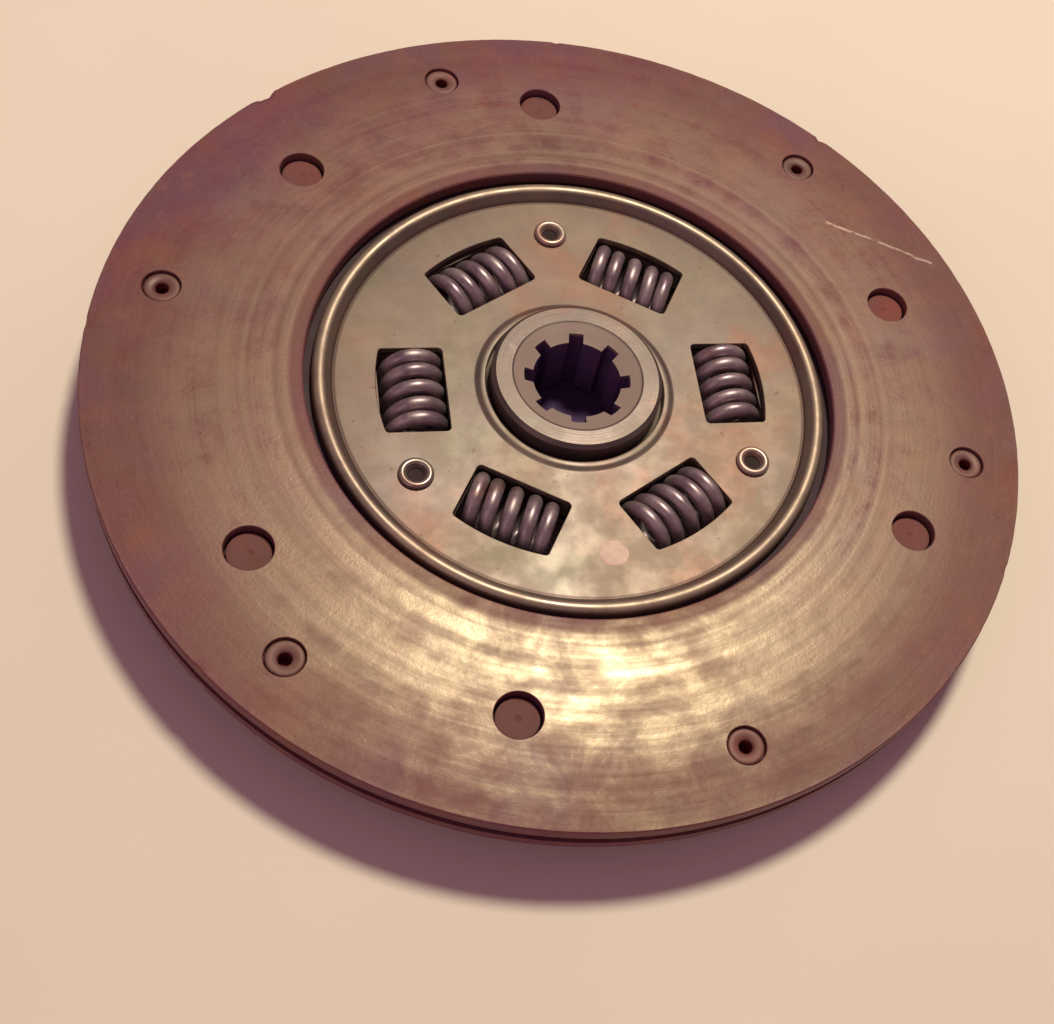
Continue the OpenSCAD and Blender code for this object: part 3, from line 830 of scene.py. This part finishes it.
def make_disc_plate(material):
    obj = lathe("disc_plate_sheet", disc_plate_profile(), 432)
    cutters = [window_cutter(60 * k, WEB_Z, WEB_TOP_Z) for k in range(6)]
    pin_hole_r = PIN_TENON_R + 0.05 * MM
    pin_hole = [(WEB_Z - 1 * MM, pin_hole_r), (WEB_TOP_Z + 1 * MM, pin_hole_r)]
    cutters += [round_cutter(centre(n), pin_hole) for n in PINS]
    rivet_hole = [(RIM_Z - 1 * MM, SHANK_HOLE_R), (RIM_TOP_Z + 1 * MM, SHANK_HOLE_R)]
    cutters += [round_cutter(centre(n), rivet_hole) for n in REAR_RIVETS]
    clear_hole = [(RIM_Z - 1 * MM, COUNTERBORE_R), (RIM_TOP_Z + 1 * MM, COUNTERBORE_R)]
    leaf_hole = [(RIM_Z - 1 * MM, LEAF_RIVET_R), (RIM_TOP_Z + 1 * MM, LEAF_RIVET_R)]
    for n in FRONT_RIVETS:
        at = centre(n)
        cutters.append(round_cutter(at, clear_hole))
        for side in (-1, 1):
            turn = Matrix.Rotation(math.radians(side * LEAF_RIVET_ANGLE), 3, "Z")
            cutters.append(round_cutter(turn @ at, leaf_hole, 24))
        cutters.append(slot_cutter(math.degrees(math.atan2(at.y, at.x)) + RIM_SLOT_ANGLE))
    cut(obj, cutters)
    smooth(obj, 30)
    return place(obj, "disc", ["disc_plate"], material)


# Turn of each spring about its own axis: both wire ends lie underneath, and the coils don't line up
SPRING_TURNS = (262, 285, 248, 270, 293, 255)


def make_spring(k, node, material):
    """Compression spring with closed, tapered ends, lying along its window."""
    mean_r = SPRING_R - WIRE_R
    half_turns = 2.3  # from the middle to either end
    open_turns = 1.3  # of these, the ones with the open pitch
    per_turn = 40
    sides = 18
    rings = round(2 * half_turns * per_turn)
    end = SPRING_LENGTH / 2 - WIRE_R
    closing = (end - COIL_PITCH * open_turns) / (half_turns - open_turns)

    def height(s):
        a = abs(s)
        h = COIL_PITCH * a if a < open_turns else COIL_PITCH * open_turns + closing * (a - open_turns)
        return math.copysign(h, s)

    def on_line(s):
        a = TAU * s
        return Vector((mean_r * math.cos(a), mean_r * math.sin(a), height(s)))

    outlines = []
    for i in range(rings + 1):
        s = -half_turns + 2 * half_turns * i / rings
        along = (on_line(s + 0.01) - on_line(s - 0.01)).normalized()
        out = Vector((math.cos(TAU * s), math.sin(TAU * s), 0))
        across = along.cross(out).normalized()
        outlines.append([
            on_line(s) + WIRE_R * (math.cos(TAU * j / sides) * out + math.sin(TAU * j / sides) * across)
            for j in range(sides)
        ])
    obj = loft(f"{node}_coil", outlines)
    at = centre(node)
    angle = 60 * k
    turn = (
        Matrix.Rotation(math.radians(angle), 4, "Z")
        @ Matrix.Translation((spring_circle_r(), 0, at.z))
        @ Matrix.Rotation(math.radians(-90), 4, "X")
        @ Matrix.Rotation(math.radians(SPRING_TURNS[k]), 4, "Z")
    )
    obj.data.transform(turn)
    smooth(obj, 60)
    place(obj, "springs", [node], material)
    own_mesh(obj)
    return obj


def spring_circle_r():
    return centre("damper_spring_1").x


def make_leaf(node, material):
    obj = bevelled_copy(f"{node}_leaf", [node], 0.06 * MM, 1)
    place(obj, "disc", [node], material)
    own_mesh(obj)
    return obj


def turned(name, profile, at, segments=64):
    """Solid turned round a vertical axis at a point. The profile runs from axis to axis."""
    bm = bmesh.new()
    loops = []
    for r, z in profile:
        if r == 0:
            loops.append([bm.verts.new((at.x, at.y, z))])
            continue
        loops.append([bm.verts.new(p) for p in circle_points(at.x, at.y, r, z, segments)])
    for low, high in zip(loops, loops[1:]):
        for j in range(segments):
            k = (j + 1) % segments
            corners = [low[j % len(low)], low[k % len(low)], high[k % len(high)], high[j % len(high)]]
            bm.faces.new(dict.fromkeys(corners))
    obj = from_bmesh(name, bm)
    smooth(obj, 40)
    return obj


def make_pin(node, material):
    """Stop pin: both ends are upset into a domed ring round a hollow."""
    lo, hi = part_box(node)
    middle = (lo.z + hi.z) / 2
    head_r = (hi.x - lo.x) / 2
    half = hi.z - middle
    face = half - PIN_HEAD_T
    shoulder = face - PLATE_T
    ring_r = 0.95 * MM
    crown = arc(head_r - ring_r, half - ring_r, ring_r, 0, 165, 14)
    end = [
        (PIN_R, 0), (PIN_R, shoulder), (PIN_TENON_R, shoulder), (PIN_TENON_R, face),
        (head_r - 0.25 * MM, face),
        (head_r, face + 0.25 * MM), *crown, (2.15 * MM, half - 1.2 * MM),
        (1.8 * MM, half - 1.75 * MM), (0.7 * MM, half - 1.8 * MM), (0, half - 1.8 * MM),
    ]
    top = [(r, middle + z) for r, z in end]
    bottom = [(r, middle - z) for r, z in reversed(end[1:])]
    obj = turned(f"{node}_turned", bottom + top, centre(node))
    return place(obj, "disc", [node], material)


def make_front_rivet(node, material):
    """Tubular rivet: rolled ring head with a deep hollow, and a rolled tail."""
    lo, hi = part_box(node)
    hollow_r = RIVET_HOLLOW_R
    tail_r = 3.4 * MM
    head_z = hi.z - RIVET_HEAD_T
    tail_z = lo.z + 1 * MM
    head_r = (hi.x - lo.x) / 2
    floor_z = lo.z + 0.5 * MM
    top = [
        (RIVET_SHANK_R, tail_z), (RIVET_SHANK_R, head_z), (head_r - 0.2 * MM, head_z),
        (head_r, head_z + 0.2 * MM),
        (head_r, hi.z - 0.35 * MM), (head_r - 0.2 * MM, hi.z - 0.1 * MM), (head_r - 0.5 * MM, hi.z),
        (head_r - 1.2 * MM, hi.z - 0.03 * MM), (hollow_r + 0.7 * MM, hi.z - 0.22 * MM),
        (hollow_r + 0.2 * MM, hi.z - 0.5 * MM), (hollow_r, hi.z - 0.9 * MM), (hollow_r, floor_z),
        (0, floor_z),
    ]
    tail = [
        (0, lo.z), (tail_r - 0.4 * MM, lo.z), (tail_r - 0.1 * MM, lo.z + 0.15 * MM),
        (tail_r, lo.z + 0.45 * MM), (tail_r, tail_z),
    ]
    obj = turned(f"{node}_formed", tail + top, centre(node), 48)
    return place(obj, "front_facing", [node], material)


def make_rear_rivet(node, material):
    """Solid rivet: flat head in the rear facing, flat formed end with a punched dimple in the front."""
    lo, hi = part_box(node)
    end_r = (hi.x - lo.x) / 2
    head_r = RIVET_HEAD_R
    edge = 0.4 * MM
    profile = [
        (0, lo.z), (head_r - edge, lo.z), (head_r - 0.12 * MM, lo.z + 0.12 * MM), (head_r, lo.z + edge),
        (head_r, lo.z + RIVET_HEAD_T), (RIVET_SHANK_R, lo.z + RIVET_HEAD_T), (RIVET_SHANK_R, RIM_TOP_Z),
        (end_r, RIM_TOP_Z), (end_r, hi.z - edge), (end_r - 0.12 * MM, hi.z - 0.12 * MM),
        (end_r - edge, hi.z),
        (end_r - 1.4 * MM, hi.z - 0.06 * MM), (1.3 * MM, hi.z - 0.08 * MM), (0.75 * MM, hi.z - 0.15 * MM),
        (0.35 * MM, hi.z - 0.45 * MM), (0, hi.z - 0.5 * MM),
    ]
    obj = turned(f"{node}_formed", profile, centre(node), 48)
    return place(obj, "disc", [node], material)


def make_paint_dab(material):
    """Thin round dab of marking paint on the disc plate, beside a window."""
    angle = math.radians(-87.1)
    middle = Vector((46.8 * MM * math.cos(angle), 46.8 * MM * math.sin(angle), WEB_TOP_Z))
    outlines = []
    for lift, share in ((0.0, 1.0), (0.07, 0.97), (0.10, 0.8), (0.09, 0.4)):
        loop = []
        for i in range(72):
            a = TAU * i / 72
            ragged = 1 + 0.14 * noise.noise(Vector((math.cos(a) * 1.8, math.sin(a) * 1.8, 4)))
            r = 3.5 * MM * share * ragged
            loop.append(middle + Vector((r * math.cos(a), r * math.sin(a), lift * MM)))
        outlines.append(loop)
    obj = loft("paint_dab", outlines)
    smooth(obj, 50)
    obj.data.materials.append(material)
    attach(obj, "disc")
    return obj


def make_floor():
    """Pale paper that the part stands on, with a painted shadow, dark purple, on it under the bore."""
    bm = bmesh.new()
    bmesh.ops.create_grid(bm, x_segments=60, y_segments=60, size=1.6)
    for v in bm.verts:
        v.co.z = -0.05 * MM
    floor = from_bmesh("floor", bm)
    n = Nodes("pale_paper")
    cloud = n.noise(6, 3, 0.5)
    fibre = n.noise(320, 3, 0.6)
    colour = n.ramp(cloud, [(0.35, rgb(0.80, 0.70, 0.60)), (0.65, rgb(0.84, 0.74, 0.63))])
    # Painted shadow: a dark patch on the paper under the hub, seen through the bore.
    bore_shadow_patch = n.step(n.radius(), 15 * MM, 17 * MM, 1.0, 0.0)
    colour = n.mix(bore_shadow_patch, colour, rgb(0.075, 0.035, 0.120))
    n.finish(colour, 0.85, n.bump(fibre, 0.1 * MM, 0.3))
    floor.data.materials.append(n.material)


def make_light(name, at, aim, size, power, colour):
    data = bpy.data.lights.new(name, "AREA")
    data.shape = "DISK"
    data.size = size
    data.energy = power
    data.color = colour
    light = bpy.data.objects.new(name, data)
    scene.collection.objects.link(light)
    light.location = at
    light.rotation_mode = "QUATERNION"
    light.rotation_quaternion = (Vector(aim) - Vector(at)).to_track_quat("-Z", "Y")


def make_world():
    world = bpy.data.worlds.new("room")
    scene.world = world
    world.use_nodes = True
    background = world.node_tree.nodes["Background"]
    background.inputs["Color"].default_value = rgb(0.62, 0.31, 0.45)
    background.inputs["Strength"].default_value = 0.34


# ---- Build ----

make_camera()
make_world()
make_floor()
make_light("key", (0.24, 0.42, 1.12), (0, 0, 0.02), 0.20, 12.2, (1.0, 0.94, 0.72))
make_light("fill", (-0.9, -0.7, 0.9), (0, 0, 0.03), 0.9, 1.6, (1.0, 0.70, 0.78))

lining_front = lining_material("lining_front", marks=True)
lining_rear = lining_material("lining_rear")
plate_steel = plate_material()
hub_steel = hub_material()
pin_steel = pin_material()
rivet_metal = rivet_material()
rivet_end = steel_material(
    "rivet_end", rgb(0.130, 0.040, 0.042), rgb(0.165, 0.050, 0.045), rgb(0.195, 0.066, 0.052),
    (0.68, 0.80), 0.0,
)
leaf_steel = steel_material(
    "leaf_steel", rgb(0.16, 0.14, 0.14), rgb(0.22, 0.19, 0.18), rgb(0.30, 0.26, 0.22)
)
wire = spring_material()
fibre = fibre_material()

make_facing("front_lining", "facing_front", "front_facing", FRONT_RIVETS, REAR_RIVETS, True, lining_front)
make_facing("rear_lining", "facing_rear", "disc", REAR_RIVETS, FRONT_RIVETS, False, lining_rear)
make_disc_plate(plate_steel)
for k, node in enumerate(SPRINGS):
    make_spring(k, node, wire)
for node in LEAVES:
    make_leaf(node, leaf_steel)
make_paint_dab(paint_material())

hub_copy = true_cones(bevelled_copy("splined_hub", ["hub"], 0.3 * MM, 3), LEAD_IN_R + 0.9 * MM)
place(hub_copy, "hub", ["hub"], hub_steel)
place(
    bevelled_copy("retainer_sheet", ["retainer_plate"], 0.15 * MM), "disc", ["retainer_plate"],
    plate_steel,
)
for node in PINS:
    make_pin(node, pin_steel)
for node in FRONT_RIVETS:
    make_front_rivet(node, rivet_metal)
for node in REAR_RIVETS:
    make_rear_rivet(node, rivet_end)
place(
    bevelled_copy("cushion_rivets_flush", ["cushion_rivets"], 0.05 * MM, 1), "disc",
    ["cushion_rivets"], rivet_metal,
)
for node, material, slot in (
    ("friction_washer_front", fibre, "friction_fibre"), ("friction_washer_rear", fibre, "friction_fibre"),
    ("thrust_washer", plate_steel, "plate_steel"), ("spring_washer", wire, "spring_steel"),
):
    place(bevelled_copy(f"{node}_ring", [node], 0.1 * MM, 1), "disc", [node], material)
